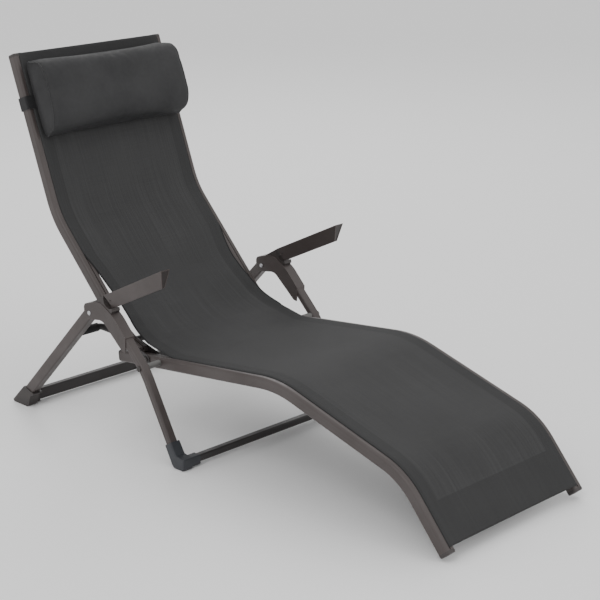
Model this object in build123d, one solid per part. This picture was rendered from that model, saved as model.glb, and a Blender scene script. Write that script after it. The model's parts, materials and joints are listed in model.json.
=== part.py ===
from build123d import *
from math import atan2, cos, radians, sin
import os

# Reclining sun lounger. Millimetres, +X towards the foot end, +Y towards the sitter's left,
# +Z up. The origin is on the ground under the middle of the lounger.

# ---- side rails of the sling frame
rail_width = 30.0
rail_depth = 30.0
rail_corner = 7.0
rail_outer_y = 250.0
rail_y = rail_outer_y - rail_width / 2
rail_wall = 2.2
keder_channel_radius = 3.75
keder_channel_depth = 8.0
keder_slot_width = 3.0
keder_rod_radius = 3.0
cap_length = 9.0
head_trim = 5.0

# ---- sling line, seen from the side: where the straight runs of the rails' top face meet
head_end = (-730.4, 932.5)
lumbar_corner = (-576.5, 534.5)
hip_corner = (-283.8, 232.2)
lumbar_radius = 210.0
hip_radius = 185.0
seat_slope = 6.7
seat_start = (-335.0, 221.2)
knee_corner = (227.6, 287.3)
shin_corner = (626.5, 175.6)
foot_end = (753.0, 31.3)
knee_radius = 300.0
shin_radius = 205.0

# ---- sling fabric
sling_half_width = 235.0
sling_thickness = 1.2
sling_gap = 0.2
sling_head_reach = 1.0
sling_leaves_back_rail = (-418.0, 370.8)
sling_back_end = (-272.0, 289.0)
sling_bridge_radius = 150.0
sling_seat_start_x = -165.0

# ---- leg frame, outer faces
frame_outer_y = 318.0
elbow_width = 30.0
elbow_wall = 2.3
leg_y = frame_outer_y - elbow_width / 2
elbow_top = [(-390.0, 350.5), (-325.0, 368.5), (-272.0, 338.5), (-229.5, 295.0)]
elbow_top_radii = [13.0, 45.0, 90.0, 1.5]
elbow_belly = [(-231.0, 256.0), (-243.0, 258.5), (-318.0, 321.5), (-387.0, 310.0)]
elbow_belly_radii = [1.5, 3.0, 30.0, 19.0]
leg_pivot = (-368.0, 330.0)
leg_pivot_radius = 4.0
running_clearance = 0.05

front_leg_width = 25.0
front_leg_depth = 19.0
front_leg_wall = 1.8
front_leg_top = (-262.0, 309.5)
front_leg_corner = (-171.4, 219.8)
front_leg_bottom = (-57.0, 20.0)
front_leg_radius = 200.0

rear_leg_width = 24.8
rear_leg_depth = 30.0
rear_leg_wall = 1.8
rear_leg_slope = 46.1
rear_leg_offset = 4.0
rear_leg_top_reach = 11.0
rear_leg_length = 408.0

front_bar_centre = (-35.0, 18.0)
front_bar_size = (20.0, 18.0)
rear_bar_centre = (-665.0, 21.5)
rear_bar_size = (18.0, 31.0)
front_bar_half = frame_outer_y - elbow_width + 8
rear_bar_half = leg_y + 2
sleeve_end_y = 260.0

# ---- bowed bar between the rear legs
bow_pivot_distance = 100.0
bow_radius = 8.5
bow_sleeve_radius = 11.0
bow_drop = 65.0
bow_flat_end_y = 228.0
bow_low_end_y = 112.0
bow_bend_radius = 40.0
bow_sleeve_inner_y = 239.0
bow_end_depth = 4.0

# ---- main pivots between the front legs and the seat rails
seat_pivot = (-181.0, 227.0)
seat_pivot_radius = 4.0
spacer_radius = 8.0
bolt_head_radius = 7.0
bolt_head_height = 3.0

# ---- hinges between the seat rails and the back rails
hinge = (-231.0, 224.0)
hinge_pin_radius = 4.0
cheek_radius = 14.0
cheek_tail = (-298.0, 244.0)
cheek_tail_radius = 11.0
cheek_thickness = 3.0
cheek_gap = 0.3
cheek_rivet_radius = 3.0
back_rail_end_x = -259.0
back_rest_gap = 0.4

# ---- armrests
arm_rear_x = -309.0
arm_front_x = -89.0
arm_wall = 2.2
arm_outer_y = 317.5
arm_inner_y = 289.5
arm_bottom_outer_y = 306.5
arm_bottom_inner_y = 297.0
arm_rear_heights = (389.0, 347.5)
arm_front_heights = (498.0, 455.0)
arm_heel = (-287.0, 359.0)
arm_front_low = (-100.0, 449.6)
arm_pivot = (-291.0, 379.0)
arm_pivot_radius = 2.5
arm_cap_depth = 8.0
bracket_corners = [(-354.0, 362.0), (-309.5, 388.5), arm_pivot, (-281.0, 360.5),
                   (-279.0, 352.0), (-290.0, 338.0), (-330.0, 340.0)]
bracket_hollow_radius = 21.3
tongue_radius = 13.8
tongue_neck_angles = (215.0, 250.0, 280.0)
tongue_neck_reach = 27.0
tongue_inner_y = 299.5
tongue_outer_y = 304.0

# ---- cross tubes of the sling frame
cross_radius = 9.0
cross_sink = 20.5

# ---- headrest pillow, measured along the back rail (s, down) and out of it (n)
pillow_half_width = 238.0
pillow_profile = [(28.0, 5.0), (22.0, 34.0), (33.0, 66.0), (68.0, 83.0),
                  (150.0, 79.0), (208.0, 71.0), (229.0, 40.0), (216.0, 5.0)]
strap_middle = 128.0
strap_height = 34.0
strap_thickness = 1.6
strap_gap = 0.7

sides = {"right": -1, "left": 1}


def side_plane(y):
    """Sketch plane across the lounger at y: local x is X, local y is Z."""
    return Plane(origin=(0, y, 0), x_dir=(1, 0, 0), z_dir=(0, -1, 0))


def plate(points, y_low, y_high):
    """Solid with a side outline given by points, from y_low to y_high."""
    outline = make_face(Polyline(*[(x, z) for x, z in points], close=True))
    return extrude(side_plane(y_high) * outline, amount=y_high - y_low)


def rod(centre, radius, y_low, y_high):
    """Round bar along Y through the side point centre."""
    disc = side_plane(y_high) * Pos(centre[0], centre[1]) * Circle(radius)
    return extrude(disc, amount=y_high - y_low)


def span(side, inner, outer):
    """Low and high y of a stretch from |y| = inner to |y| = outer on one side."""
    return (inner, outer) if side > 0 else (-outer, -inner)


def shift(point, direction, distance):
    return (point[0] + direction[0] * distance, point[1] + direction[1] * distance)


def heading(start, end):
    angle = atan2(end[1] - start[1], end[0] - start[0])
    return (cos(angle), sin(angle))


def bent_path(points, radii, y):
    """Straight runs through points in the plane at y, joined by arcs of the given radii."""
    flat = FilletPolyline(*[(x, y, z) for x, z in points], radius=list(radii))
    return flat


def start_plane(points, y):
    """Plane square to a path at its start: local x is Y, local y is the upper side."""
    direction = heading(points[0], points[1])
    return Plane(origin=(points[0][0], y, points[0][1]), x_dir=(0, 1, 0),
                 z_dir=(direction[0], 0, direction[1]))


def swept(section, points, radii, y):
    """Sweep a flat section along a bent path in the plane at y."""
    path = bent_path(points, radii, y) if radii else Line(*[(x, y, z) for x, z in points])
    return sweep(start_plane(points, y) * section, path=path)


def below(points, depth):
    """The corner points of a run, moved square to it by depth to the lower side."""
    moved = []
    for index, point in enumerate(points):
        before = heading(points[index - 1], point) if index else None
        after = heading(point, points[index + 1]) if index + 1 < len(points) else None
        first = before or after
        last = after or before
        half = (first[0] + last[0], first[1] + last[1])
        length = (half[0] ** 2 + half[1] ** 2) ** 0.5
        along = (half[0] / length, half[1] / length)
        lean = along[0] * first[0] + along[1] * first[1]
        moved.append((point[0] + along[1] * depth / lean, point[1] - along[0] * depth / lean))
    return moved


def ring(width, depth, wall, corner):
    """Hollow rounded rectangle."""
    inner = RectangleRounded(width - 2 * wall, depth - 2 * wall, max(corner - wall, 0.5))
    return RectangleRounded(width, depth, corner) - inner


def export(name, shape):
    solids = shape.solids()
    body = solids[0] if len(solids) == 1 else Compound(children=list(solids))
    body.label = name
    export_step(body, f"parts/{name}.step")


# ---------------------------------------------------------------- side profile lines
back_down = heading(head_end, lumbar_corner)
back_line = [shift(head_end, back_down, head_trim), lumbar_corner, hip_corner,
             shift(hip_corner, (cos(radians(seat_slope)), sin(radians(seat_slope))), 95.0)]
seat_line = [seat_start, knee_corner, shin_corner, foot_end]
back_axis = below(back_line, rail_depth / 2)
seat_axis = below(seat_line, rail_depth / 2)
back_radii = [lumbar_radius + rail_depth / 2, hip_radius + rail_depth / 2]
seat_radii = [knee_radius - rail_depth / 2, shin_radius - rail_depth / 2]
back_out = (-back_down[1], back_down[0])
seat_along = heading(seat_start, knee_corner)
seat_up = (-seat_along[1], seat_along[0])


def on_back(s, n):
    """Side point s down the upper back from its head end and n out of the sling line."""
    return shift(shift(head_end, back_down, s), back_out, n)


# ---------------------------------------------------------------- sling frame rails
def rail_section():
    """Extrusion with a hollow chamber and a keder channel open to the top face."""
    outer = RectangleRounded(rail_width, rail_depth, rail_corner)
    channel_y = rail_depth / 2 - keder_channel_depth
    chamber_top = channel_y - keder_channel_radius - rail_wall
    chamber_bottom = -rail_depth / 2 + rail_wall
    chamber = RectangleRounded(rail_width - 2 * rail_wall, chamber_top - chamber_bottom, 4.0)
    chamber = Pos(0, (chamber_top + chamber_bottom) / 2) * chamber
    channel = Pos(0, channel_y) * Circle(keder_channel_radius)
    slot = Pos(0, channel_y + keder_channel_depth / 2) * Rectangle(keder_slot_width, keder_channel_depth)
    return outer - chamber - channel - slot


def seat_top_cut(y):
    """Everything below the seat rail's top face at the hip, where the back rail rests on it."""
    low = shift(seat_start, seat_along, -200)
    high = shift(seat_start, seat_along, 400)
    corners = [shift(low, seat_up, back_rest_gap), shift(high, seat_up, back_rest_gap),
               shift(high, seat_up, -200), shift(low, seat_up, -200)]
    return plate(corners, y - 40, y + 40)


def back_rail(side):
    y = side * rail_y
    body = swept(rail_section(), back_axis, back_radii, y)
    end_cut = Pos(back_rail_end_x + 100, y, 250) * Box(200, 60, 200)
    rivet_hole = rod(cheek_tail, cheek_rivet_radius, y - 20, y + 20)
    return (body - seat_top_cut(y) - end_cut - rivet_hole).solids().sort_by(SortBy.VOLUME)[-1]


def seat_rail(side):
    y = side * rail_y
    body = swept(rail_section(), seat_axis, seat_radii, y)
    low, high = span(side, rail_outer_y - rail_width - 5, rail_outer_y + 5)
    for centre, radius in ((seat_pivot, seat_pivot_radius), (hinge, hinge_pin_radius)):
        body -= rod(centre, radius, low, high)
    return body


def end_cap(point, direction, y):
    """Domed plastic plug over the end of a rail; direction points out of the rail."""
    face = Plane(origin=(point[0], y, point[1]), x_dir=(0, 1, 0), z_dir=(direction[0], 0, direction[1]))
    cap = extrude(face * RectangleRounded(rail_width, rail_depth, rail_corner), amount=cap_length)
    rim = cap.faces().sort_by(lambda f: f.center().dot(Vector(direction[0], 0, direction[1])))[-1].edges()
    return fillet(rim, 4.0)


def rail_caps(axis_end, direction):
    return Compound(children=[end_cap(axis_end, direction, side * rail_y) for side in sides.values()])


def cross_tube(point, direction):
    """Round tube between the rails, below the sling at point; direction is the sling's run there."""
    centre = shift(point, (direction[1], -direction[0]), cross_sink)
    half = rail_outer_y - rail_width
    return rod(centre, cross_radius, -half, half) - rod(centre, cross_radius - 1.5, -half, half)


def sling(points, radii):
    lift = sling_gap + sling_thickness / 2
    section = Rectangle(2 * sling_half_width, sling_thickness)
    return swept(section, below(points, -lift), radii, 0)


def keder_rods(points, radii):
    line = below(points, keder_channel_depth)
    rods = [swept(Circle(keder_rod_radius), line, radii, side * rail_y) for side in sides.values()]
    return Compound(children=rods)


def hinge_cheeks():
    """Plates on both faces of each back rail that reach down to the hinge pins."""
    plates = []
    for side in sides.values():
        for face_y, outward in ((rail_outer_y, 1), (rail_outer_y - rail_width, -1)):
            near = face_y + outward * cheek_gap
            far = near + outward * cheek_thickness
            low, high = span(side, min(near, far), max(near, far))
            lobe = Pos(*hinge) * Circle(cheek_radius) + Pos(*cheek_tail) * Circle(cheek_tail_radius)
            outline = make_hull(lobe.edges())
            body = extrude(side_plane(high) * outline, amount=high - low)
            body -= rod(hinge, hinge_pin_radius, low - 1, high + 1)
            body -= rod(cheek_tail, cheek_rivet_radius, low - 1, high + 1)
            plates.append(body)
    return Compound(children=plates)


def cheek_rivets():
    """Rivets through each back rail that clamp its two hinge plates."""
    rivets = []
    reach_in = rail_outer_y - rail_width - cheek_gap - cheek_thickness
    reach_out = rail_outer_y + cheek_gap + cheek_thickness
    for side in sides.values():
        rivet = rod(cheek_tail, cheek_rivet_radius, *span(side, reach_in - 2, reach_out + 2))
        for inner, outer in ((reach_in - 2, reach_in), (reach_out, reach_out + 2)):
            rivet += rod(cheek_tail, 5.5, *span(side, inner, outer))
        rivets.append(rivet)
    return Compound(children=rivets)


def hinge_pins():
    pins = []
    head = 2.0
    reach_in = rail_outer_y - rail_width - 2 * cheek_gap - cheek_thickness
    reach_out = rail_outer_y + 2 * cheek_gap + cheek_thickness
    for side in sides.values():
        shaft = rod(hinge, hinge_pin_radius - running_clearance, *span(side, reach_in, reach_out))
        outer_head = rod(hinge, 8.0, *span(side, reach_out, reach_out + head))
        inner_head = rod(hinge, 8.0, *span(side, reach_in - head, reach_in))
        pins.append(shaft + outer_head + inner_head)
    return Compound(children=pins)


# ---------------------------------------------------------------- leg frame
def elbow_outline():
    """Side outline of an elbow: rounded rear end, curved top, lower end cut upright."""
    corners = elbow_top + elbow_belly
    return make_face(FilletPolyline(*corners, radius=elbow_top_radii + elbow_belly_radii, close=True))


def elbow_trench():
    """Inside of the channel: everything under its top web, open at both ends and below."""
    roof = below(elbow_top, elbow_wall)
    roof[0] = (roof[0][0] - 40, roof[0][1] - 11)
    roof[-1] = (roof[-1][0] + 30, roof[-1][1] - 30.8)
    corners = roof + [(roof[-1][0], 200), (roof[0][0], 200)]
    return make_face(FilletPolyline(*corners, radius=[0, 43, 88, 0, 0, 0], close=True))


def elbow(side):
    """Channel that holds the front leg and carries the rear leg's pivot between its flanges."""
    low, high = span(side, frame_outer_y - elbow_width, frame_outer_y)
    body = extrude(side_plane(high) * elbow_outline(), amount=high - low)
    depth = high - low - 2 * elbow_wall
    body -= extrude(side_plane(high - elbow_wall) * elbow_trench(), amount=depth)
    return body - rod(leg_pivot, leg_pivot_radius, low - 1, high + 1)


def front_leg_solid(side, wall=None):
    points = [front_leg_top, front_leg_corner, front_leg_bottom]
    filled = RectangleRounded(front_leg_width, front_leg_depth, 5.0)
    section = ring(front_leg_width, front_leg_depth, wall, 5.0) if wall else filled
    return swept(section, points, [front_leg_radius], side * leg_y)


def front_leg(side):
    low, high = span(side, frame_outer_y - elbow_width, frame_outer_y)
    return front_leg_solid(side, front_leg_wall) - rod(seat_pivot, seat_pivot_radius, low, high)


def front_foot(side):
    """Plastic corner that holds a front leg and one end of the front cross tube."""
    low, high = span(side, frame_outer_y - elbow_width, frame_outer_y)
    profile = [(-89.5, 52), (-64, 7), (-57, 0), (-25, 0), (-20, 5), (-20, 30), (-49, 34), (-68, 64)]
    block = plate(profile, low, high)
    block = fillet(block.edges().filter_by(Axis.Y), 3.0)
    block = fillet(block.faces().sort_by(Axis.Y)[-1 if side > 0 else 0].edges(), 4.0)
    bar_x, bar_z = front_bar_centre
    sleeve_low, sleeve_high = span(side, sleeve_end_y, frame_outer_y - 6)
    sleeve = Pos(bar_x, (sleeve_low + sleeve_high) / 2, bar_z - 1.5)
    sleeve = sleeve * Box(front_bar_size[0] + 6, sleeve_high - sleeve_low, front_bar_size[1] + 7)
    sleeve = fillet(sleeve.edges().filter_by(Axis.Y), 4.0)
    return block + sleeve - front_leg_solid(side) - front_bar_block()


def front_bar_block():
    bar = Box(front_bar_size[0], 2 * front_bar_half, front_bar_size[1])
    bar = fillet(bar.edges().filter_by(Axis.Y), 4.0)
    return Pos(front_bar_centre[0], 0, front_bar_centre[1]) * bar


def cross_bar(size, centre, half):
    section = ring(size[0], size[1], 1.6, 4.0)
    face = Plane(origin=(centre[0], half, centre[1]), x_dir=(1, 0, 0), z_dir=(0, -1, 0)) * section
    return extrude(face, amount=2 * half)


rear_down = (-cos(radians(rear_leg_slope)), -sin(radians(rear_leg_slope)))
rear_over = (rear_down[1], -rear_down[0])


def on_rear_leg(s, n):
    """Side point s down the rear leg from its pivot and n to its upper side."""
    return shift(shift(leg_pivot, rear_down, s), rear_over, n)


def rear_leg_solid(side, wall=None):
    start = on_rear_leg(-rear_leg_top_reach, rear_leg_offset)
    end = on_rear_leg(rear_leg_length, rear_leg_offset)
    filled = RectangleRounded(rear_leg_width, rear_leg_depth, 4.0)
    section = ring(rear_leg_width, rear_leg_depth, wall, 4.0) if wall else filled
    return swept(section, [start, end], None, side * leg_y)


def rear_leg(side):
    low, high = span(side, frame_outer_y - elbow_width, frame_outer_y)
    body = rear_leg_solid(side, rear_leg_wall) - rod(leg_pivot, leg_pivot_radius, low, high)
    return body - rod(bow_point(), bow_radius, *span(side, 280, bow_end_y()))


def bow_end_y():
    return leg_y - rear_leg_width / 2 + bow_end_depth


def rear_bar_block():
    bar = Box(rear_bar_size[0], 2 * rear_bar_half, rear_bar_size[1])
    bar = fillet(bar.edges().filter_by(Axis.Y), 4.0)
    return Pos(rear_bar_centre[0], 0, rear_bar_centre[1]) * bar


def rear_foot(side):
    """Plastic shoe on a rear leg that also holds one end of the rear cross tube."""
    half = rear_leg_width / 2 + 2.5
    low, high = span(side, leg_y - half, leg_y + half)
    heel = on_rear_leg(rear_leg_length - 7, rear_leg_offset + rear_leg_depth / 2 + 2.5)
    profile = [heel, (-713, 5), (-708, 0), (-651, 0), (-645, 6), (-634, 34), (-617, 43)]
    block = plate(profile, low, high)
    block = fillet(block.edges().filter_by(Axis.Y), 2.0)
    bar_x, bar_z = rear_bar_centre
    sleeve_low, sleeve_high = span(side, sleeve_end_y + 12, leg_y)
    sleeve = Pos(bar_x, (sleeve_low + sleeve_high) / 2, bar_z - 1)
    sleeve = sleeve * Box(rear_bar_size[0] + 6, sleeve_high - sleeve_low, rear_bar_size[1] + 6)
    sleeve = fillet(sleeve.edges().filter_by(Axis.Y), 4.0)
    return block + sleeve - rear_leg_solid(side) - rear_bar_block()


def bow_point():
    return on_rear_leg(bow_pivot_distance, 0)


def bow_route(reach):
    """Centre line of the bowed bar from one rear leg to the other, low in the middle."""
    x, z = bow_point()
    half = [(reach, 0.0), (bow_flat_end_y, 0.0), (bow_low_end_y, -bow_drop)]
    corners = half + [(-y, drop) for y, drop in reversed(half)]
    return [(x, y, z + drop) for y, drop in corners]


def spreader_bar():
    route = bow_route(bow_end_y())
    path = FilletPolyline(*route, radius=[bow_bend_radius] * 4)
    start = Plane(origin=route[0], x_dir=(1, 0, 0), z_dir=(0, -1, 0))
    return sweep(start * (Circle(bow_radius) - Circle(bow_radius - 1.5)), path=path)


def spreader_sleeves():
    """Rubber sleeves over the bar's ends, where the back rails come to rest when reclined."""
    sleeves = []
    for side in sides.values():
        low, high = span(side, bow_sleeve_inner_y, leg_y - rear_leg_width / 2)
        sleeves.append(rod(bow_point(), bow_sleeve_radius, low, high) - rod(bow_point(), bow_radius, low, high))
    return Compound(children=sleeves)


def leg_pivot_rivets():
    """Rivets with domed heads through the elbows and the rear legs."""
    rivets = []
    for side in sides.values():
        low, high = span(side, frame_outer_y - elbow_width - 0.3, frame_outer_y + 0.3)
        body = rod(leg_pivot, leg_pivot_radius - running_clearance, low, high)
        for y, outward in ((low, -1), (high, 1)):
            face = Plane(origin=(leg_pivot[0], y, leg_pivot[1]), x_dir=(1, 0, 0), z_dir=(0, outward, 0))
            head = extrude(face * Circle(6.0), amount=2.2)
            tip = head.faces().sort_by(Axis.Y)[-1 if outward > 0 else 0]
            body += fillet(tip.edges(), 2.0)
        rivets.append(body)
    return Compound(children=rivets)


def seat_pivot_bolts():
    bolts = []
    for side in sides.values():
        inner = rail_outer_y - rail_width - 0.3
        outer = leg_y + front_leg_width / 2 + 0.3
        shaft = rod(seat_pivot, seat_pivot_radius - running_clearance, *span(side, inner - 6, outer))
        head = rod(seat_pivot, bolt_head_radius, *span(side, outer, outer + bolt_head_height))
        bolts.append(shaft + head)
    return Compound(children=bolts)


def seat_pivot_nuts():
    """Hexagon lock nuts on the inner faces of the seat rails."""
    nuts = []
    for side in sides.values():
        inner = rail_outer_y - rail_width - 0.3
        low, high = span(side, inner - 6, inner)
        hexagon = side_plane(high) * Pos(*seat_pivot) * RegularPolygon(7.5, 6)
        nut = extrude(hexagon, amount=high - low)
        nuts.append(nut - rod(seat_pivot, seat_pivot_radius - running_clearance, low, high))
    return Compound(children=nuts)


def seat_pivot_spacers():
    """Sleeves that keep the seat rails clear of the front legs."""
    sleeves = []
    for side in sides.values():
        low, high = span(side, rail_outer_y + 0.3, leg_y - front_leg_width / 2 - 0.3)
        sleeves.append(rod(seat_pivot, spacer_radius, low, high) - rod(seat_pivot, seat_pivot_radius, low, high))
    return Compound(children=sleeves)


# ---------------------------------------------------------------- armrests
def arm_section(x, heights, side, inset, drop):
    """Four-cornered section of an armrest at x; inset makes it smaller and drop lengthens it downwards."""
    top, bottom = heights
    longer = (top - bottom + drop) / (top - bottom)
    outer_low = arm_outer_y + (arm_bottom_outer_y - arm_outer_y) * longer - inset
    inner_low = arm_inner_y + (arm_bottom_inner_y - arm_inner_y) * longer + inset
    corners = [(arm_outer_y - inset, top - inset * 1.1), (arm_inner_y + inset, top - inset * 1.1),
               (inner_low, bottom - drop), (outer_low, bottom - drop)]
    return make_face(Polyline(*[(x, side * y, z) for y, z in corners], close=True))


def arm_solid(side, inset, drop):
    """Tapered bar that is longer than the armrest at both ends."""
    slopes = [(front - rear) / (arm_front_x - arm_rear_x)
              for rear, front in zip(arm_rear_heights, arm_front_heights)]
    sections = []
    for x in (arm_rear_x - 4, arm_front_x + 4):
        heights = [rear + slope * (x - arm_rear_x) for rear, slope in zip(arm_rear_heights, slopes)]
        sections.append(arm_section(x, heights, side, inset, drop))
    return loft(sections, ruled=True)


def arm_stretch(side, rear_line, front_line):
    """Everything between two slanted lines, each given as a low and a high side point."""
    margin = 12.0
    corners = []
    for (low, high), order in ((rear_line, 1), (front_line, -1)):
        up = heading(low, high)
        corners += [shift(low, up, -margin), shift(high, up, margin)][::order]
    return plate(corners, *span(side, arm_inner_y - 5, arm_outer_y + 5))


def armrest(side):
    """Channel open below, with slanted ends and a pivot hole near its rear end."""
    rear_line = (arm_heel, (arm_rear_x, arm_rear_heights[0]))
    front_line = (arm_front_low, (arm_front_x, arm_front_heights[0]))
    shell = arm_solid(side, 0, 0) - arm_solid(side, arm_wall, 8.0)
    shell = shell & arm_stretch(side, rear_line, front_line)
    return shell - rod(arm_pivot, arm_pivot_radius, *span(side, arm_inner_y, arm_outer_y))


def armrest_end_cap(side):
    """Plug that closes the front end of an armrest."""
    high = (arm_front_x, arm_front_heights[0])
    front_line = [(x - 1, z) for x, z in (arm_front_low, high)]
    rear_line = [(x - arm_cap_depth, z) for x, z in front_line]
    return arm_solid(side, arm_wall, 0) & arm_stretch(side, rear_line, front_line)


def armrest_pin(side):
    return rod(arm_pivot, arm_pivot_radius - running_clearance, *span(side, 292.0, 313.4))


def armrest_bracket(side):
    """Wedge on top of an elbow, with a tongue that reaches the armrest's pivot inside it."""
    wedge = plate(bracket_corners, *span(side, arm_inner_y + 1.0, arm_outer_y - 1.0))
    wedge -= rod(arm_pivot, bracket_hollow_radius, *span(side, arm_inner_y, arm_outer_y))
    low, high = span(side, tongue_inner_y, tongue_outer_y)
    turns = [radians(angle) for angle in tongue_neck_angles]
    neck = [shift(arm_pivot, (cos(turn), sin(turn)), tongue_neck_reach) for turn in turns]
    tongue = rod(arm_pivot, tongue_radius, low, high) + plate([arm_pivot] + neck, low, high)
    tongue -= rod(arm_pivot, arm_pivot_radius, low, high)
    return wedge + tongue - elbow_block(side)


def elbow_block(side):
    """Solid outline of an elbow, used to seat the bracket on its curved top."""
    low, high = span(side, frame_outer_y - elbow_width - 1, frame_outer_y + 1)
    return extrude(side_plane(high) * elbow_outline(), amount=high - low)


# ---------------------------------------------------------------- headrest
def headrest_pillow():
    profile = [on_back(s, n) for s, n in pillow_profile]
    body = plate(profile, -pillow_half_width, pillow_half_width)
    return fillet(body.edges().filter_by(Axis.Y), 10.0)


def headrest_strap():
    """Flat elastic band round the back rails and the sling, behind the pillow."""
    middle = on_back(strap_middle, 0)
    frame = Plane(origin=(middle[0], 0, middle[1]), x_dir=(0, 1, 0),
                  z_dir=(back_down[0], 0, back_down[1]))
    inner_low = -rail_depth - strap_gap
    inner_high = sling_gap + sling_thickness + strap_gap
    half = rail_outer_y + strap_gap
    centre = (inner_low + inner_high) / 2
    hole = RectangleRounded(2 * half, inner_high - inner_low, 4.0)
    band = RectangleRounded(2 * (half + strap_thickness), inner_high - inner_low + 2 * strap_thickness, 5.6)
    face = frame * Pos(0, centre) * (band - hole)
    return extrude(face, amount=strap_height / 2, both=True)


# ---------------------------------------------------------------- write the parts
os.makedirs("parts", exist_ok=True)

for side_name, side_sign in sides.items():
    export(f"{side_name}_elbow", elbow(side_sign))
    export(f"{side_name}_front_leg", front_leg(side_sign))
    export(f"{side_name}_front_foot", front_foot(side_sign))
    export(f"{side_name}_rear_leg", rear_leg(side_sign))
    export(f"{side_name}_rear_foot", rear_foot(side_sign))
    export(f"{side_name}_armrest", armrest(side_sign))
    export(f"{side_name}_armrest_end_cap", armrest_end_cap(side_sign))
    export(f"{side_name}_armrest_pin", armrest_pin(side_sign))
    export(f"{side_name}_armrest_bracket", armrest_bracket(side_sign))
    export(f"{side_name}_back_rail", back_rail(side_sign))
    export(f"{side_name}_seat_rail", seat_rail(side_sign))

export("front_crossbar", cross_bar(front_bar_size, front_bar_centre, front_bar_half))
export("rear_crossbar", cross_bar(rear_bar_size, rear_bar_centre, rear_bar_half))
export("spreader_bar", spreader_bar())
export("spreader_sleeves", spreader_sleeves())
export("leg_pivot_rivets", leg_pivot_rivets())
export("seat_pivot_bolts", seat_pivot_bolts())
export("seat_pivot_nuts", seat_pivot_nuts())
export("seat_pivot_spacers", seat_pivot_spacers())
export("hinge_pins", hinge_pins())
export("hinge_cheeks", hinge_cheeks())
export("cheek_rivets", cheek_rivets())

seat_end = heading(shin_corner, foot_end)
export("head_caps", rail_caps(back_axis[0], (-back_down[0], -back_down[1])))
export("foot_caps", rail_caps(seat_axis[-1], seat_end))
export("seat_rear_caps", rail_caps(seat_axis[0], (-seat_along[0], -seat_along[1])))

export("head_crossbar", cross_tube(on_back(16, 0), back_down))
lower_back = heading(lumbar_corner, hip_corner)
export("lower_back_crossbar", cross_tube(shift(lumbar_corner, lower_back, 150), lower_back))
export("seat_crossbar", cross_tube(shift(seat_start, seat_along, 225), seat_along))
export("knee_crossbar", cross_tube(shift(seat_start, seat_along, 480), seat_along))
shin_along = heading(knee_corner, shin_corner)
export("shin_crossbar", cross_tube(shift(knee_corner, shin_along, 230), shin_along))
export("foot_crossbar", cross_tube(shift(foot_end, seat_end, -26), seat_end))

back_sling_line = [on_back(-sling_head_reach, 0), lumbar_corner, sling_leaves_back_rail, sling_back_end]
export("back_sling", sling(back_sling_line, [lumbar_radius, sling_bridge_radius]))
seat_sling_start = shift(seat_start, seat_along, (sling_seat_start_x - seat_start[0]) / seat_along[0])
seat_sling_line = [seat_sling_start, knee_corner, shin_corner, shift(foot_end, seat_end, -4)]
export("seat_sling", sling(seat_sling_line, [knee_radius, shin_radius]))
back_keder_line = [on_back(head_trim + 1, 0), lumbar_corner, sling_leaves_back_rail]
export("back_keder_rods", keder_rods(back_keder_line, [lumbar_radius + keder_channel_depth]))
export("seat_keder_rods", keder_rods(seat_sling_line, [knee_radius - keder_channel_depth,
                                                       shin_radius - keder_channel_depth]))

export("headrest_pillow", headrest_pillow())
export("headrest_strap", headrest_strap())
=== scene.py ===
"""Looks of the reclining sun lounger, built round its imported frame. Metres, +X foot, +Y far side, +Z up."""
import json
import math

import bpy
import numpy as np
from mathutils import Matrix, Vector
from mathutils.bvhtree import BVHTree


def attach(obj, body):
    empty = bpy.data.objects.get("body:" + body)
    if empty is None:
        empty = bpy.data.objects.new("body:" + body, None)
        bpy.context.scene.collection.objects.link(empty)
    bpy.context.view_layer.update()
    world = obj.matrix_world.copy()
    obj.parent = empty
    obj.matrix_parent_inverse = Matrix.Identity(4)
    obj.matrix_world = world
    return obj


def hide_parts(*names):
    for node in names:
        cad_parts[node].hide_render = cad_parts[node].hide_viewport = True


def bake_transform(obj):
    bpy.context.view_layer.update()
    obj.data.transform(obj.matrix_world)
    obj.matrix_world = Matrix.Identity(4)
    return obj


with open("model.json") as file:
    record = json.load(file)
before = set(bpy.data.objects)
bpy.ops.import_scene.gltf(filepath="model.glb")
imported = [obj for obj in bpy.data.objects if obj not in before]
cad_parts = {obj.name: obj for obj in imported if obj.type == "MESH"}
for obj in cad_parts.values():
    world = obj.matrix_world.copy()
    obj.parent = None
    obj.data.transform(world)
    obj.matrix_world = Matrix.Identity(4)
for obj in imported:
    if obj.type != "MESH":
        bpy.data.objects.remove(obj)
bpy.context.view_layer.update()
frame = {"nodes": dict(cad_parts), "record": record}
MM = 0.001
NEAR, FAR = -1, 1
SIDES = {"right": NEAR, "left": FAR}

# ---- camera
CAMERA_PLACE = (2.83025, -2.82669, 1.63905)
CAMERA_YAW = 44.381
CAMERA_PITCH = 17.524
CAMERA_ROLL = 0.255
CAMERA_LENS = 100.83
SENSOR = 36.0

# ---- the sling's line from head to foot, along the rails and free over the hip, and each corner's radius
SLING_LINE = [(-0.7314, 0.9347), (-0.5765, 0.5345), (-0.418, 0.3708), (-0.300, 0.281), (-0.255, 0.262),
              (-0.150, 0.2432), (0.2276, 0.2883), (0.6265, 0.1766), (0.7505, 0.0352)]
SLING_RADII = [0.210, 0.300, 0.150, 0.200, 0.120, 0.300, 0.205]
SLING_HALF = 0.235
SLING_ROWS = 300
SLING_COLUMNS = 72
SLING_THICKNESS = 0.0011
SAG = 0.006
HIP_SAG = 0.010
HIP_MIDDLE = 0.72
HIP_REACH = 0.16
HEM_WIDTH = 0.038
EDGE_DIP = 0.0026
EDGE_DIP_WIDTH = 0.004
FREE_EDGE = (0.565, 0.875)
FOOT_SEAM_FROM_END = 0.104
EDGE_BOW = 0.019
EDGE_CORD_RADIUS = 0.0024
END_HEM = 0.03
FABRIC_TOP = 0.0002

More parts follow.
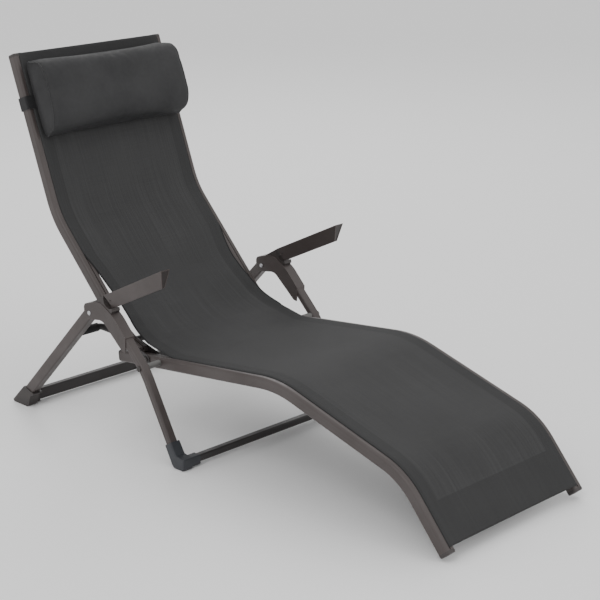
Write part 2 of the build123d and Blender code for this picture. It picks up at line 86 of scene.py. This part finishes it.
# ---- faint creases over the hip: their place after its middle, their reach, height and pitches
CREASE_AFTER = 0.03
CREASE_REACH = 0.085
CREASE_HEIGHT = 0.0011
CREASE_PITCHES = (118, 67)

# ---- the upper back's line: places on it are measured down the back (s) and out of it (n)
BACK_TOP = Vector((-0.7304, 0, 0.9325))
BACK_DOWN = Vector((0.3608, 0, -0.9327)).normalized()
BACK_OUT = Vector((-BACK_DOWN.z, 0, BACK_DOWN.x))


# ------------------------------------------------------------------ node helpers
class Nodes:
    """A material's node tree with short calls for the nodes used here."""

    def __init__(self, name):
        self.material = bpy.data.materials.new(name)
        self.material.use_nodes = True
        self.tree = self.material.node_tree
        self.shader = self.tree.nodes["Principled BSDF"]

    def add(self, kind, **values):
        node = self.tree.nodes.new(kind)
        for key, value in values.items():
            if hasattr(node, key):
                setattr(node, key, value)
            else:
                node.inputs[key.replace("_", " ")].default_value = value
        return node

    def link(self, source, target):
        self.tree.links.new(source, target)

    def place(self, kind="Object", scale=(1, 1, 1)):
        coords = self.add("ShaderNodeTexCoord")
        mapping = self.add("ShaderNodeMapping")
        mapping.inputs["Scale"].default_value = scale
        self.link(coords.outputs[kind], mapping.inputs["Vector"])
        return mapping.outputs["Vector"]

    def noise(self, vector, scale, detail=4.0, roughness=0.5):
        node = self.add("ShaderNodeTexNoise")
        node.inputs["Scale"].default_value = scale
        node.inputs["Detail"].default_value = detail
        node.inputs["Roughness"].default_value = roughness
        self.link(vector, node.inputs["Vector"])
        return node.outputs["Fac"]

    def math(self, operation, first, second=None, clamp=False):
        node = self.add("ShaderNodeMath", operation=operation, use_clamp=clamp)
        for index, value in enumerate((first, second)):
            if value is None:
                continue
            if isinstance(value, (int, float)):
                node.inputs[index].default_value = value
            else:
                self.link(value, node.inputs[index])
        return node.outputs[0]

    def spread(self, value, low, high, to_low=0.0, to_high=1.0):
        node = self.add("ShaderNodeMapRange")
        node.inputs["From Min"].default_value = low
        node.inputs["From Max"].default_value = high
        node.inputs["To Min"].default_value = to_low
        node.inputs["To Max"].default_value = to_high
        self.link(value, node.inputs["Value"])
        return node.outputs["Result"]

    def blend_colour(self, factor, dark, light):
        node = self.add("ShaderNodeMix", data_type="RGBA")
        self.link(factor, node.inputs[0])
        for socket, colour in ((node.inputs[6], dark), (node.inputs[7], light)):
            if isinstance(colour, tuple):
                socket.default_value = (*colour, 1.0)
            else:
                self.link(colour, socket)
        return node.outputs[2]

    def edges(self, radius, strength):
        """Mask of the shape's sharp edges, for a painted highlight along them."""
        bevel = self.add("ShaderNodeBevel", samples=4)
        bevel.inputs["Radius"].default_value = radius
        compare = self.add("ShaderNodeVectorMath", operation="DOT_PRODUCT")
        self.link(bevel.outputs["Normal"], compare.inputs[0])
        self.link(self.add("ShaderNodeNewGeometry").outputs["Normal"], compare.inputs[1])
        return self.spread(compare.outputs["Value"], 0.99, 0.86, 0.0, strength)

    def bump(self, height, strength, distance, normal=None):
        node = self.add("ShaderNodeBump")
        node.inputs["Strength"].default_value = strength
        node.inputs["Distance"].default_value = distance
        self.link(height, node.inputs["Height"])
        if normal is not None:
            self.link(normal, node.inputs["Normal"])
        return node.outputs["Normal"]

    def finish(self, colour, roughness, normal=None, metallic=0.0, **constants):
        self.link(colour, self.shader.inputs["Base Color"])
        if isinstance(roughness, float):
            self.shader.inputs["Roughness"].default_value = roughness
        else:
            self.link(roughness, self.shader.inputs["Roughness"])
        if normal is not None:
            self.link(normal, self.shader.inputs["Normal"])
        self.shader.inputs["Metallic"].default_value = metallic
        for key, value in constants.items():
            self.shader.inputs[key.replace("_", " ")].default_value = value
        return self.material


# ------------------------------------------------------------------ materials
def powder_coat(name, dark, light, roughness=0.42):
    """Fine orange-peel powder coat with faint handling wear and a painted highlight along its edges."""
    m = Nodes(name)
    where = m.place()
    cloud = m.spread(m.noise(where, 7.0, 3.0), 0.35, 0.65)
    grain = m.noise(where, 900.0, 2.0)
    colour = m.blend_colour(cloud, dark, light)
    speckle = m.spread(grain, 0.35, 0.7, 0.0, 0.35)
    colour = m.blend_colour(speckle, colour, tuple(1.5 * c for c in light))
    # painted highlight: the sharp edges are lightened towards 3.4 times the light colour
    colour = m.blend_colour(m.edges(0.0009, 0.6), colour, tuple(3.4 * c for c in light))
    rough = m.spread(m.noise(where, 45.0, 4.0), 0.3, 0.7, roughness - 0.06, roughness + 0.08)
    peel = m.bump(grain, 0.28, 0.00025)
    wave = m.bump(m.noise(where, 160.0, 2.0), 0.10, 0.0004, peel)
    return m.finish(colour, rough, wave, Specular_IOR_Level=0.38, Coat_Weight=0.04, Coat_Roughness=0.3)


def moulded_plastic(name, dark, light, roughness=0.5, grain_size=650.0):
    """Moulded plastic with a fine spark-eroded grain and faint flow marks."""
    m = Nodes(name)
    where = m.place()
    flow = m.spread(m.noise(m.place(scale=(1, 1, 3)), 14.0, 3.0), 0.3, 0.7)
    colour = m.blend_colour(flow, dark, light)
    grain = m.noise(where, grain_size, 3.0, 0.6)
    scuff = m.spread(m.noise(m.place(scale=(1, 5, 1)), 60.0, 5.0, 0.7), 0.62, 0.78, 0.0, 0.3)
    colour = m.blend_colour(scuff, colour, tuple(2.2 * c for c in light))
    rough = m.spread(grain, 0.3, 0.7, roughness - 0.05, roughness + 0.09)
    return m.finish(colour, rough, m.bump(grain, 0.3, 0.0003), Specular_IOR_Level=0.5)


def bare_metal(name):
    """Plated steel, faintly brushed, with small dull spots."""
    m = Nodes(name)
    brushed = m.noise(m.place(scale=(1, 14, 1)), 260.0, 3.0)
    spots = m.spread(m.noise(m.place(), 420.0, 4.0), 0.55, 0.75)
    colour = m.blend_colour(spots, (0.52, 0.52, 0.54), (0.30, 0.29, 0.29))
    rough = m.spread(brushed, 0.3, 0.7, 0.22, 0.40)
    return m.finish(colour, rough, m.bump(brushed, 0.15, 0.0001), metallic=1.0)


def rubber_sleeve(name):
    m = Nodes(name)
    grain = m.noise(m.place(), 500.0, 4.0, 0.65)
    dust = m.spread(m.noise(m.place(), 35.0, 4.0), 0.45, 0.75)
    colour = m.blend_colour(dust, (0.010, 0.010, 0.0105), (0.022, 0.021, 0.021))
    return m.finish(colour, 0.72, m.bump(grain, 0.35, 0.0003), Specular_IOR_Level=0.35)


def weave_height(m, pitch, kind="UV"):
    """Height of a plain weave: round yarns that pass over and under each other."""
    turn = math.pi / pitch
    coords = m.add("ShaderNodeTexCoord").outputs[kind]
    split = m.add("ShaderNodeSeparateXYZ")
    m.link(coords, split.inputs[0])
    waves = []
    for axis in (0, 1):
        angle = m.math("MULTIPLY", split.outputs[axis], turn)
        waves.append((m.math("ABSOLUTE", m.math("SINE", angle)), m.math("SINE", angle)))
    crossing = m.math("MULTIPLY", waves[0][1], waves[1][1])
    over = m.spread(crossing, -1.0, 1.0)
    warp = m.math("MULTIPLY", waves[0][0], over)
    weft = m.math("MULTIPLY", waves[1][0], m.math("SUBTRACT", 1.0, over))
    return m.math("MAXIMUM", warp, weft)


def mesh_fabric(name, dark, light, pitch=0.0016, roughness=0.78):
    """Coated mesh cloth: yarns with painted shade in the gaps between them, faint streaks along the warp and
    slubs across it.
    """
    m = Nodes(name)
    height = weave_height(m, pitch)
    streak = m.noise(m.place("UV", (260.0, 3.0, 1.0)), 1.0, 3.0)
    slub = m.noise(m.place("UV", (6.0, 420.0, 1.0)), 1.0, 2.0)
    cloud = m.noise(m.place("UV", (5.0, 5.0, 1.0)), 1.0, 3.0)
    tone = m.math("ADD", m.math("MULTIPLY", streak, 0.62), m.math("MULTIPLY", slub, 0.13))
    tone = m.math("ADD", tone, m.math("MULTIPLY", cloud, 0.25))
    colour = m.blend_colour(m.spread(tone, 0.38, 0.62), dark, light)
    # painted shade: the low gaps between the yarns are darkened to 0.42 of the cloth colour
    gap = m.spread(height, 0.05, 0.55, 0.42, 1.0)
    gap_shaded_colour = m.add("ShaderNodeMix", data_type="RGBA", blend_type="MULTIPLY")
    gap_shaded_colour.inputs[0].default_value = 1.0
    m.link(colour, gap_shaded_colour.inputs[6])
    m.link(gap, gap_shaded_colour.inputs[7])
    rough = m.spread(streak, 0.3, 0.7, roughness - 0.06, roughness + 0.08)
    normal = m.bump(height, 0.45, 0.0005)
    return m.finish(gap_shaded_colour.outputs[2], rough, normal, Specular_IOR_Level=0.24)


def pillow_cover(name):
    """Smooth coated cover with a fine leather grain and soft creases."""
    m = Nodes(name)
    where = m.place()
    cells = m.add("ShaderNodeTexVoronoi", feature="DISTANCE_TO_EDGE")
    cells.inputs["Scale"].default_value = 620.0
    m.link(where, cells.inputs["Vector"])
    grain = m.spread(cells.outputs["Distance"], 0.0, 0.25)
    cloud = m.spread(m.noise(where, 9.0, 4.0), 0.35, 0.65)
    colour = m.blend_colour(cloud, (0.028, 0.028, 0.029), (0.039, 0.039, 0.040))
    rough = m.spread(m.noise(where, 90.0, 4.0), 0.3, 0.7, 0.64, 0.76)
    crease = m.bump(m.noise(m.place(scale=(1, 0.5, 1)), 30.0, 4.0, 0.6), 0.22, 0.0025)
    normal = m.bump(grain, 0.22, 0.0002, crease)
    return m.finish(colour, rough, normal, Specular_IOR_Level=0.22)


def webbing(name, dark=(0.008, 0.008, 0.0085), light=(0.020, 0.020, 0.021)):
    """Ribbed elastic webbing or binding tape."""
    m = Nodes(name)
    coords = m.place("Object")
    split = m.add("ShaderNodeSeparateXYZ")
    m.link(coords, split.inputs[0])
    ribs = m.math("ABSOLUTE", m.math("SINE", m.math("MULTIPLY", split.outputs[2], math.pi / 0.0018)))
    fuzz = m.noise(coords, 800.0, 3.0)
    colour = m.blend_colour(m.spread(fuzz, 0.35, 0.65), dark, light)
    return m.finish(colour, 0.8, m.bump(ribs, 0.4, 0.0004), Specular_IOR_Level=0.3, Sheen_Weight=0.15)


def build_materials():
    brown_dark, brown_light = (0.048, 0.039, 0.037), (0.064, 0.053, 0.051)
    return {
        "frame": powder_coat("frame_powder_coat", brown_dark, brown_light),
        "dark_bar": powder_coat("dark_powder_coat", (0.020, 0.017, 0.017), (0.030, 0.026, 0.026), 0.40),
        "front_foot_plastic": moulded_plastic("front_foot_plastic",
                                              (0.024, 0.026, 0.031), (0.036, 0.039, 0.045)),
        "rear_foot_plastic": moulded_plastic("rear_foot_plastic",
                                             (0.030, 0.025, 0.024), (0.043, 0.036, 0.034)),
        "bracket_plastic": moulded_plastic("bracket_plastic", (0.034, 0.028, 0.027), (0.048, 0.040, 0.038)),
        "cap_plastic": moulded_plastic("cap_plastic", (0.030, 0.025, 0.024), (0.042, 0.035, 0.034)),
        "spacer_plastic": moulded_plastic("spacer_plastic",
                                          (0.085, 0.083, 0.080), (0.12, 0.117, 0.113), 0.45),
        "rivet_metal": bare_metal("rivet_metal"),
        "dark_steel": powder_coat("dark_steel", (0.022, 0.018, 0.017), (0.032, 0.027, 0.025), 0.38),
        "sleeve_rubber": rubber_sleeve("sleeve_rubber"),
        "keder_plastic": moulded_plastic("keder_plastic", (0.012, 0.012, 0.012), (0.02, 0.02, 0.02)),
        "sling_fabric": mesh_fabric("sling_mesh", (0.041, 0.041, 0.0415), (0.058, 0.058, 0.0585)),
        "hem_fabric": mesh_fabric("hem_mesh", (0.035, 0.035, 0.0355), (0.046, 0.046, 0.0465)),
        "pillow_cover": pillow_cover("pillow_cover"),
        "strap_webbing": webbing("strap_webbing"),
        "piping": webbing("piping_tape", (0.018, 0.018, 0.0185), (0.030, 0.030, 0.031)),
    }


def paint_frame(materials):
    """Every CAD node takes the detailed material of its record slot."""
    for entry in frame["record"]["subparts"]:
        node = frame["nodes"][entry["node"]]
        node.data.materials.clear()
        node.data.materials.append(materials[entry["material_slot"]])


# ------------------------------------------------------------------ mesh helpers
def new_object(name, points, faces, material, uvs=None, smooth=True):
    mesh = bpy.data.meshes.new(name)
    mesh.from_pydata([tuple(p) for p in points], [], faces)
    if uvs is not None:
        layer = mesh.uv_layers.new(name="UVMap")
        loops = np.empty(len(mesh.loops), dtype=np.int32)
        mesh.loops.foreach_get("vertex_index", loops)
        layer.data.foreach_set("uv", np.asarray(uvs)[loops].astype(np.float32).ravel())
    mesh.polygons.foreach_set("use_smooth", [smooth] * len(mesh.polygons))
    mesh.materials.append(material)
    mesh.validate()
    made = bpy.data.objects.new(name, mesh)
    bpy.context.scene.collection.objects.link(made)
    return made


def apply_modifiers(piece):
    """Bakes a piece's modifiers into its mesh."""
    graph = bpy.context.evaluated_depsgraph_get()
    baked = bpy.data.meshes.new_from_object(piece.evaluated_get(graph), depsgraph=graph)
    piece.modifiers.clear()
    piece.data = baked


def rounded_run(corners, radii, step):
    """Evenly spaced points, and their directions, along straight runs joined by tangent arcs."""
    corners = [np.array(c, dtype=float) for c in corners]
    pieces = []
    start = corners[0]
    for index, radius in enumerate(radii, start=1):
        into = corners[index] - corners[index - 1]
        out = corners[index + 1] - corners[index]
        into /= np.linalg.norm(into)
        out /= np.linalg.norm(out)
        turn = math.atan2(into[0] * out[1] - into[1] * out[0], float(into @ out))
        reach = radius * math.tan(abs(turn) / 2)
        first = corners[index] - into * reach
        count = max(int(radius * abs(turn) / (step * 0.5)), 4)
        pieces.append(np.linspace(start, first, 40, endpoint=False))
        side = np.array([-into[1], into[0]]) * math.copysign(1, turn)
        centre = first + side * radius
        angles = np.linspace(0, turn, count, endpoint=False)
        spoke = first - centre
        pieces.append(np.array([centre + np.array([spoke[0] * math.cos(a) - spoke[1] * math.sin(a),
                                                   spoke[0] * math.sin(a) + spoke[1] * math.cos(a)])
                                for a in angles]))
        start = corners[index] + out * reach
    pieces.append(np.linspace(start, corners[-1], 40))
    dense = np.vstack(pieces)
    lengths = np.concatenate([[0], np.cumsum(np.linalg.norm(np.diff(dense, axis=0), axis=1))])
    count = int(lengths[-1] / step) + 1
    places = np.linspace(0, lengths[-1], count)
    points = np.column_stack([np.interp(places, lengths, dense[:, k]) for k in (0, 1)])
    along = np.gradient(points, axis=0)
    along /= np.linalg.norm(along, axis=1)[:, None]
    return points, along, places


def grid_faces(rows, columns, close=False):
    last = columns if close else columns - 1
    return [(r * columns + c, r * columns + (c + 1) % columns, (r + 1) * columns + (c + 1) % columns,
             (r + 1) * columns + c) for r in range(rows - 1) for c in range(last)]


def tube(name, centres, radius, material, sides=12):
    """Closed tube along a chain of points, with rounded ends."""
    centres = [Vector(c) for c in centres]
    rows = []
    ends = [(0, 0.35), (0, 0.8), *((i, 1.0) for i in range(len(centres))), (-1, 0.8), (-1, 0.35)]
    reference = Vector((0, 1, 0))
    for order, (index, swell) in enumerate(ends):
        here = centres[index]
        after = centres[min(index + 1, len(centres) - 1)] if index >= 0 else centres[-1]
        before = centres[max(index - 1, 0)] if index >= 0 else centres[-2]
        along = (after - before).normalized()
        if order < 2:
            here = here - along * radius * (0.9 if order == 0 else 0.45)
        if order >= len(ends) - 2:
            here = here + along * radius * (0.9 if order == len(ends) - 1 else 0.45)
        across = along.cross(reference)
        if across.length < 0.1:
            across = along.cross(Vector((0, 0, 1)))
        across.normalize()
        up = across.cross(along)
        rows.append([here + (across * math.cos(a) + up * math.sin(a)) * radius * swell
                     for a in np.linspace(0, 2 * math.pi, sides, endpoint=False)])
    points = [p for row in rows for p in row]
    faces = grid_faces(len(rows), sides, close=True)
    faces.append(tuple(reversed(range(sides))))
    faces.append(tuple(range((len(rows) - 1) * sides, len(rows) * sides)))
    return new_object(name, points, faces, material)


def joined(name, objects):
    """One object made of several, so that small repeats share a name."""
    bpy.ops.object.select_all(action="DESELECT")
    for item in objects:
        item.select_set(True)
    bpy.context.view_layer.objects.active = objects[0]
    bpy.ops.object.join()
    objects[0].name = name
    return objects[0]


# ------------------------------------------------------------------ sling
def smooth_step(value, low, high):
    t = np.clip((value - low) / (high - low), 0.0, 1.0)
    return t * t * (3 - 2 * t)


def sling_shape():
    """Points of the stretched fabric: rows from head to foot, columns from the near to the far rail."""
    length = rounded_run(SLING_LINE, SLING_RADII, 0.01)[2][-1]
    points, along, places = rounded_run(SLING_LINE, SLING_RADII, length / (SLING_ROWS - 0.5))
    up = np.column_stack([-along[:, 1], along[:, 0]])
    across = np.linspace(-1, 1, SLING_COLUMNS)
    across = np.sign(across) * (1 - (1 - np.abs(across)) ** 1.15)
    return points, up, places, across


def sling_height(place, v, total):
    """How far a point of the fabric lies above (+) or below (-) the rails' line."""
    belly = 1 - v ** 2
    ends = min(place / 0.10, (total - place) / 0.10, 1.0)
    hip = math.exp(-((place - HIP_MIDDLE) / HIP_REACH) ** 2)
    height = -(SAG * (0.35 + 0.65 * ends) + HIP_SAG * hip) * belly
    crease = math.exp(-((place - HIP_MIDDLE - CREASE_AFTER) / CREASE_REACH) ** 2)
    ripple = math.sin(place * CREASE_PITCHES[0] + 7.5 * v ** 2 + 1.3 * v)
    ripple += 0.6 * math.sin(place * CREASE_PITCHES[1] - 5.0 * v + 0.8)
    height += CREASE_HEIGHT * crease * ripple * (0.25 + 0.75 * v ** 2) * belly ** 0.35
    return height


def half_width(place):
    """Half the fabric's width: its free edges bow inwards between the rails' two stretches."""
    start, end = FREE_EDGE
    t = min(max((place - start) / (end - start), 0.0), 1.0)
    return SLING_HALF - EDGE_BOW * math.sin(math.pi * t ** 0.8) ** 1.2


def make_sling(materials):
    """One stretched sheet from head to foot, its hems doubled, free of the rails over the hip."""
    points, up, places, across = sling_shape()
    total = places[-1]
    rows, columns = len(points), len(across)
    grid = np.zeros((rows, columns, 3))
    uvs = np.zeros((rows, columns, 2))
    for r in range(rows):
        free = smooth_step(places[r], FREE_EDGE[0] - 0.02, FREE_EDGE[0] + 0.02)
        free *= 1 - smooth_step(places[r], FREE_EDGE[1] - 0.02, FREE_EDGE[1] + 0.005)
        for c, v in enumerate(across):
            height = sling_height(places[r], v, total) + SLING_THICKNESS
            from_edge = (1 - abs(v)) * SLING_HALF
            dip = max(0.0, 1 - from_edge / EDGE_DIP_WIDTH)
            height -= EDGE_DIP * dip ** 2 * (1 - free)
            bow = 0.006 * (1 - v ** 2) * (smooth_step(places[r], total - 0.05, total))
            grid[r, c] = (points[r, 0] + up[r, 0] * height - bow * up[r, 1] * 0.4, v * half_width(places[r]),
                          points[r, 1] + up[r, 1] * height)
            uvs[r, c] = (v * SLING_HALF, places[r])
    sheet = new_object("sling", grid.reshape(-1, 3), grid_faces(rows, columns), materials["sling_fabric"],
                       uvs.reshape(-1, 2))
    sheet.data.materials.append(materials["hem_fabric"])
    hems = []
    for r in range(rows - 1):
        for c in range(columns - 1):
            v = 0.5 * (across[c] + across[c + 1])
            place = 0.5 * (places[r] + places[r + 1])
            side_hem = (1 - abs(v)) * SLING_HALF < HEM_WIDTH
            end_hem = place < END_HEM or place > total - FOOT_SEAM_FROM_END
            hems.append(1 if side_hem or end_hem else 0)
    sheet.data.polygons.foreach_set("material_index", hems)
    thick = sheet.modifiers.new("cloth thickness", "SOLIDIFY")
    thick.thickness = SLING_THICKNESS
    thick.offset = -1
    apply_modifiers(sheet)
    return sheet, grid, places, across


def surface_line(grid, places, across, start, end, v, lift, count=None):
    """Points on the sling at a fixed v, between two places along it, lifted off its face."""
    rows = np.where((places >= start) & (places <= end))[0]
    column = int(np.argmin(np.abs(across - v)))
    other = min(column + 1, len(across) - 1)
    weight = 0.0
    if other != column:
        weight = (v - across[column]) / (across[other] - across[column])
    line = grid[rows, column] * (1 - weight) + grid[rows, other] * weight
    if len(line) > 1:
        along = np.gradient(line, axis=0)
        normal = np.column_stack([-along[:, 2], np.zeros(len(line)), along[:, 0]])
        normal /= np.linalg.norm(normal, axis=1)[:, None]
        line = line + normal * lift
    return line


def stitch_row(name, line, material, pitch=0.0045, gap=0.0011, radius=0.00042):
    """Short stitches laid on the fabric along a line."""
    lengths = np.concatenate([[0], np.cumsum(np.linalg.norm(np.diff(line, axis=0), axis=1))])
    points, faces = [], []
    ring = 5
    count = int(lengths[-1] / pitch)
    for index in range(count):
        ends = (index * pitch, (index + 1) * pitch - gap)
        a, b = (np.array([np.interp(e, lengths, line[:, k]) for k in range(3)]) for e in ends)
        along = (b - a) / np.linalg.norm(b - a)
        across = np.cross(along, (0.0, 1.0, 0.0))
        if np.linalg.norm(across) < 0.3:
            across = np.cross(along, (0.0, 0.0, 1.0))
        across /= np.linalg.norm(across)
        up = np.cross(across, along)
        base = len(points)
        for where, swell in ((a, 0.5), (a + (b - a) * 0.5, 1.0), (b, 0.5)):
            for turn in np.linspace(0, 2 * math.pi, ring, endpoint=False):
                points.append(where + (across * math.cos(turn) + up * math.sin(turn)) * radius * swell)
        faces += [tuple(base + i for i in face) for face in grid_faces(3, ring, close=True)]
        faces.append(tuple(base + i for i in reversed(range(ring))))
        faces.append(tuple(base + 2 * ring + i for i in range(ring)))
    return new_object(name, points, faces, material)


def dress_sling(materials):
    """The sling with its stitched hems and the cord loops along its free edges."""
    sheet, grid, places, across = make_sling(materials)
    total = places[-1]
    hem_v = 1 - HEM_WIDTH / SLING_HALF
    stitches = []
    for index, sign in enumerate((NEAR, FAR)):
        line = surface_line(grid, places, across, 0.02, total - 0.02, sign * hem_v, FABRIC_TOP)
        stitches.append(stitch_row(f"hem_stitches_{index}", line, materials["piping"]))
    for index, place in enumerate((0.028, total - FOOT_SEAM_FROM_END, total - FOOT_SEAM_FROM_END + 0.012)):
        row = int(np.argmin(np.abs(places - place)))
        line = grid[row, 3:-3] + np.array([0.0, 0.0, 0.0003])
        stitches.append(stitch_row(f"cross_stitches_{index}", line, materials["piping"]))
    seams = joined("sling_stitches", stitches)
    cords = []
    for index, sign in enumerate((NEAR, FAR)):
        start, end = FREE_EDGE[0] - 0.01, FREE_EDGE[1] + 0.004
        line = surface_line(grid, places, across, start, end, sign * 0.992, -0.0006)
        cords.append(tube(f"edge_cord_{index}", line[::2], EDGE_CORD_RADIUS, materials["hem_fabric"]))
    edges = joined("sling_edge_cords", cords)
    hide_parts("back_sling", "seat_sling")
    for piece in (sheet, seams, edges):
        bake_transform(piece)


# ------------------------------------------------------------------ headrest
def on_back(s, y, n):
    place = BACK_TOP + BACK_DOWN * s + BACK_OUT * n
    return Vector((place.x, y, place.z))


PILLOW_PROFILE = [(0.036, 0.007), (0.029, 0.032), (0.035, 0.058), (0.056, 0.075), (0.094, 0.081),
                  (0.138, 0.080), (0.184, 0.074), (0.212, 0.058), (0.222, 0.034), (0.217, 0.007)]
PILLOW_HALF = 0.233
PILLOW_PRESSURE = 3.0
PILLOW_CAP = 0.006
PILLOW_VOXEL = 0.006
SWELL_FRAMES = 20
PIPING_INSET = 0.002
PIPING_RADIUS = 0.0017


def closed_profile(corners, count):
    """Evenly spaced points round a smooth closed loop through corners."""
    corners = np.array(corners)
    n = len(corners)
    dense = []
    for i in range(n):
        p0, p1, p2, p3 = (corners[(i + k - 1) % n] for k in range(4))
        for t in np.linspace(0, 1, 24, endpoint=False):
            dense.append(0.5 * ((2 * p1) + (p2 - p0) * t + (2 * p0 - 5 * p1 + 4 * p2 - p3) * t ** 2
                                + (3 * p1 - p0 - 3 * p2 + p3) * t ** 3))
    dense = np.array(dense + [dense[0]])
    lengths = np.concatenate([[0], np.cumsum(np.linalg.norm(np.diff(dense, axis=0), axis=1))])
    places = np.linspace(0, lengths[-1], count, endpoint=False)
    return np.column_stack([np.interp(places, lengths, dense[:, k]) for k in (0, 1)])


def pillow_blank(material):
    """The stuffed cover before it swells: a long bolster with flat end panels."""
    loop = closed_profile(PILLOW_PROFILE, 72)
    middle = loop.mean(axis=0)
    stations = 64
    rows = []
    for end_scale in (0.15, 0.45, 0.75, 0.94):
        rows.append((-PILLOW_HALF, end_scale))
    rows += [(y, 1.0) for y in np.linspace(-PILLOW_HALF, PILLOW_HALF, stations)]
    for end_scale in (0.94, 0.75, 0.45, 0.15):
        rows.append((PILLOW_HALF, end_scale))
    points = []
    for y, scale in rows:
        bulge = (1 - scale) * 0.008 * math.copysign(1, y)
        for s, n in middle + (loop - middle) * scale:
            points.append(on_back(s, y + bulge, n))
    faces = grid_faces(len(rows), len(loop), close=True)
    faces.append(tuple(reversed(range(len(loop)))))
    faces.append(tuple(range((len(rows) - 1) * len(loop), len(rows) * len(loop))))
    return new_object("headrest_cushion", points, faces, material)


def even_mesh(piece):
    """Rebuilds a closed piece with even small faces, for the simulation."""
    remesh = piece.modifiers.new("even mesh", "REMESH")
    remesh.mode = "VOXEL"
    remesh.voxel_size = PILLOW_VOXEL
    apply_modifiers(piece)


def swell(piece, pressure, cap):
    """Inflates a closed cover with a cloth simulation, no point moving further than cap."""
    start = np.empty(len(piece.data.vertices) * 3)
    piece.data.vertices.foreach_get("co", start)
    start = start.reshape(-1, 3)
    cloth = piece.modifiers.new("cloth", "CLOTH")
    cloth.settings.use_pressure = True
    cloth.settings.uniform_pressure_force = pressure
    cloth.settings.quality = 6
    cloth.settings.tension_stiffness = 20
    cloth.settings.compression_stiffness = 8
    cloth.settings.bending_stiffness = 0.6
    cloth.settings.effector_weights.gravity = 0
    scene = bpy.context.scene
    for number in range(1, SWELL_FRAMES + 1):
        scene.frame_set(number)
    apply_modifiers(piece)
    end = np.empty(len(piece.data.vertices) * 3)
    piece.data.vertices.foreach_get("co", end)
    end = end.reshape(-1, 3)
    move = end - start
    size = np.linalg.norm(move, axis=1)
    limit = np.where(size > cap, cap / np.maximum(size, 1e-9), 1.0)
    end = start + move * limit[:, None]
    piece.data.vertices.foreach_set("co", end.ravel())
    scene.frame_set(1)


def on_surface(piece, points, lift):
    """The points moved onto the nearest spot of a piece's surface, then lifted off it."""
    graph = bpy.context.evaluated_depsgraph_get()
    tree = BVHTree.FromObject(piece, graph)
    moved = []
    for point in points:
        spot, normal, _, _ = tree.find_nearest(point)
        moved.append(spot + normal * lift)
    return moved


def make_headrest(materials):
    cushion = pillow_blank(materials["pillow_cover"])
    even_mesh(cushion)
    swell(cushion, PILLOW_PRESSURE, PILLOW_CAP)
    smooth = cushion.modifiers.new("relax", "SMOOTH")
    smooth.factor = 0.5
    smooth.iterations = 6
    finer = cushion.modifiers.new("finer", "SUBSURF")
    finer.levels = finer.render_levels = 1
    apply_modifiers(cushion)
    cushion.data.materials.clear()
    cushion.data.materials.append(materials["pillow_cover"])
    cushion.data.polygons.foreach_set("use_smooth", [True] * len(cushion.data.polygons))
    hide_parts("headrest_pillow")
    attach(cushion, "headrest")
    piping = []
    for index, sign in enumerate((NEAR, FAR)):
        y = sign * (PILLOW_HALF - PIPING_INSET)
        ring = [on_back(s, y, n) for s, n in closed_profile(PILLOW_PROFILE, 90)]
        ring = on_surface(cushion, ring, 0.0003)
        piping.append(tube(f"piping_{index}", ring + ring[:2], PIPING_RADIUS, materials["piping"], sides=8))
    trim = joined("headrest_piping", piping)
    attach(trim, "headrest")


# ------------------------------------------------------------------ stage
def make_stage():
    floor_material = Nodes("pale_floor")
    floor_material.shader.inputs["Base Color"].default_value = (0.92, 0.92, 0.92, 1)
    floor_material.shader.inputs["Roughness"].default_value = 0.6
    size = 14.0
    corners = [(-size, -size, 0), (size, -size, 0), (size, size, 0), (-size, size, 0)]
    floor = new_object("floor", corners, [(0, 1, 2, 3)], floor_material.material, smooth=False)
    world = bpy.data.worlds.new("studio")
    bpy.context.scene.world = world
    world.use_nodes = True
    world.node_tree.nodes["Background"].inputs["Color"].default_value = (1.0, 1.0, 1.0, 1)
    world.node_tree.nodes["Background"].inputs["Strength"].default_value = 1.0
    lamps = {"key": ((1.2, -3.4, 4.2), 55.0, 2.4), "fill": ((4.2, 1.0, 2.6), 25.0, 2.6),
             "rim": ((-3.0, 2.6, 3.4), 45.0, 2.2)}
    for name, (place, power, size) in lamps.items():
        lamp = bpy.data.lights.new(name, "AREA")
        lamp.energy = power
        lamp.size = size
        item = bpy.data.objects.new(name, lamp)
        item.location = place
        item.rotation_euler = (Vector((0, 0, 0.4)) - Vector(place)).to_track_quat("-Z", "Y").to_euler()
        bpy.context.scene.collection.objects.link(item)


def make_camera():
    lens = bpy.data.cameras.new("camera")
    lens.sensor_width = SENSOR
    lens.lens = CAMERA_LENS
    lens.clip_end = 50
    camera = bpy.data.objects.new("camera", lens)
    turn = Matrix.Rotation(math.radians(CAMERA_YAW), 4, "Z")
    turn = turn @ Matrix.Rotation(math.radians(90 - CAMERA_PITCH), 4, "X")
    turn = turn @ Matrix.Rotation(math.radians(CAMERA_ROLL), 4, "Z")
    camera.matrix_world = Matrix.Translation(CAMERA_PLACE) @ turn
    bpy.context.scene.collection.objects.link(camera)
    bpy.context.scene.camera = camera


make_camera()
make_stage()
all_materials = build_materials()
paint_frame(all_materials)
dress_sling(all_materials)
make_headrest(all_materials)
